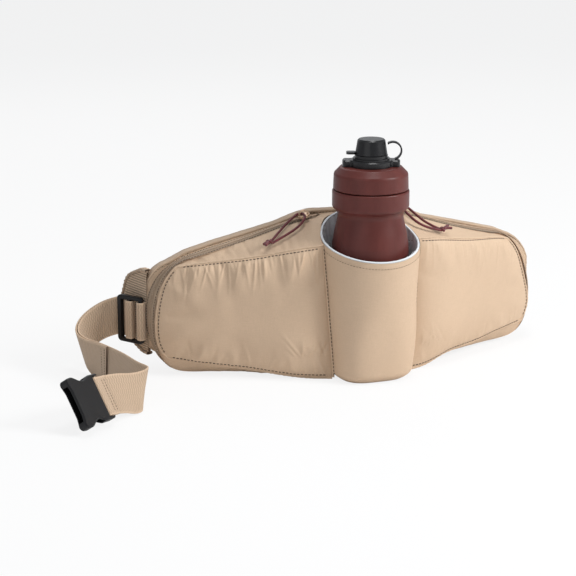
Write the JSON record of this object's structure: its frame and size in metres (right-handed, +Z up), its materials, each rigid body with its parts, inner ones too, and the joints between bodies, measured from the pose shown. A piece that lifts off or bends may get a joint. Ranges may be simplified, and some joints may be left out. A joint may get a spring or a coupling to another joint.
{
  "type": "bottle waist pack",
  "caption": "Padded waist pack with two zipped side pockets, a tilted bottle sleeve, a lidded drinks bottle and a webbing belt with a side-release buckle.",
  "frame": {"origin": "middle of the bottle sleeve's base, on the surface the pack stands on", "axes": "+Z up along the bottle, -Y out of the sleeve's front, +X across the pack towards its right pocket"},
  "size_m": [0.527, 0.2511, 0.2312],
  "materials": {
    "pack_cloth": "fine woven nylon",
    "spacer_mesh": "open knitted mesh",
    "binding": "ribbed binding tape",
    "foam": "closed-cell foam",
    "lining": "smooth coated lining",
    "zip_tape": "twill tape",
    "zip_coil": "nylon coil",
    "slider_brass": "lacquered, worn",
    "pull_cord": "braided cord",
    "webbing": "ribbed webbing",
    "black_acetal": "moulded, semi-gloss",
    "bottle_plastic": "soft satin",
    "valve_plastic": "moulded, gloss",
    "seal_rubber": "moulded silicone"
  },
  "bodies": {
    "pack": {"back_wall": "pack_cloth", "back_foam": "foam", "back_mesh": "spacer_mesh", "back_binding": "binding", "sleeve_shell": "pack_cloth", "sleeve_padding": "foam", "sleeve_lining": "lining", "sleeve_rim_binding": "binding", "sleeve_base": "pack_cloth", "sleeve_base_pad": "foam", "left_pocket_front": "pack_cloth", "left_pocket_gusset": "pack_cloth", "left_zip_tape": "zip_tape", "left_zip_coil": "zip_coil", "left_wing_flap": "spacer_mesh", "left_flap_binding": "binding", "left_anchor_webbing": "webbing", "right_pocket_front": "pack_cloth", "right_pocket_gusset": "pack_cloth", "right_zip_tape": "zip_tape", "right_zip_coil": "zip_coil", "right_wing_flap": "spacer_mesh", "right_flap_binding": "binding", "right_anchor_webbing": "webbing"},
    "left_slider": {"left_zip_slider": "slider_brass", "left_pull_cord": "pull_cord", "left_pull_knot": "pull_cord"},
    "left_belt": {"left_triglide": "black_acetal", "left_belt_strap": "webbing", "left_strap_tail": "webbing"},
    "right_slider": {"right_zip_slider": "slider_brass", "right_pull_cord": "pull_cord", "right_pull_knot": "pull_cord"},
    "right_belt": {"right_triglide": "black_acetal", "right_belt_strap": "webbing", "right_strap_tail": "webbing"},
    "socket": {"buckle_socket": "black_acetal"},
    "plug": {"buckle_plug": "black_acetal"},
    "plug_arm_upper": {"plug_arm_upper": "black_acetal"},
    "plug_arm_lower": {"plug_arm_lower": "black_acetal"},
    "bottle": {"bottle_body": "bottle_plastic"},
    "lid_seal": {"lid_gasket": "seal_rubber"},
    "lid": {"bottle_lid": "bottle_plastic"},
    "valve": {"valve_base": "valve_plastic", "jaw_valve": "seal_rubber", "cap_tether": "valve_plastic"},
    "cap": {"dust_cap": "valve_plastic"}
  },
  "joints": [
    {"name": "bottle_lift", "type": "slide", "parent": "pack", "child": "bottle", "axis": [0, 0, 1], "range_m": [0, 0.15]},
    {"name": "lid_lift", "type": "slide", "parent": "bottle", "child": "lid_seal", "axis": [0, 0, 1], "range_m": [0, 0.03]},
    {"name": "lid_turn", "type": "hinge", "parent": "lid_seal", "child": "lid", "pos_m": [0, 0, 0.19], "axis": [0, 0, 1], "range_deg": [0, 450]},
    {"name": "nozzle_twist", "type": "hinge", "parent": "lid", "child": "valve", "pos_m": [0, 0, 0.205], "axis": [0, 0, 1], "range_deg": [0, 90]},
    {"name": "cap_flip", "type": "hinge", "parent": "valve", "child": "cap", "pos_m": [0.0208, -0.00716, 0.213], "axis": [0.3256, 0.9455, 0], "range_deg": [0, 150], "deforming": ["cap_tether"]},
    {"name": "left_zip_run", "type": "slide", "parent": "pack", "child": "left_slider", "axis": [-0.9569, 0.1001, -0.2727], "range_m": [0, 0.104], "deforming": ["left_pull_cord", "left_pull_knot"]},
    {"name": "right_zip_run", "type": "slide", "parent": "pack", "child": "right_slider", "axis": [0.958, 0.0915, -0.2717], "range_m": [0, 0.104], "deforming": ["right_pull_cord", "right_pull_knot"]},
    {"name": "left_belt_swing", "type": "hinge", "parent": "pack", "child": "left_belt", "pos_m": [-0.2102, 0.0703, 0.052], "axis": [0, 0, 1], "range_deg": [-6, 20]},
    {"name": "right_belt_swing", "type": "hinge", "parent": "pack", "child": "right_belt", "pos_m": [0.1983, 0.1093, 0.052], "axis": [0, 0, 1], "range_deg": [-20, 4]},
    {"name": "socket_tilt", "type": "hinge", "parent": "left_belt", "child": "socket", "pos_m": [-0.28165, -0.06179, 0.02369], "axis": [-0.289, 0.494, 0.82], "range_deg": [-25, 25]},
    {"name": "plug_tilt", "type": "hinge", "parent": "right_belt", "child": "plug", "pos_m": [0.04202, 0.12006, 0.02197], "axis": [0, 0.1191, 0.9929], "range_deg": [-25, 25]},
    {"name": "plug_arm_upper_flex", "type": "hinge", "parent": "plug", "child": "plug_arm_upper", "pos_m": [0.02964, 0.12255, 0.03678], "axis": [-0.0572, -0.9913, 0.1189], "range_deg": [0, 8], "stiffness_Nm_per_rad": 0.2},
    {"name": "plug_arm_lower_flex", "type": "hinge", "parent": "plug", "child": "plug_arm_lower", "pos_m": [0.02964, 0.11898, 0.00699], "axis": [0.0572, 0.9913, -0.1189], "range_deg": [0, 8], "stiffness_Nm_per_rad": 0.2}
  ],
  "couplings": [
    {"joint": "plug_arm_lower_flex", "follows": "plug_arm_upper_flex", "ratio": 1}
  ]
}
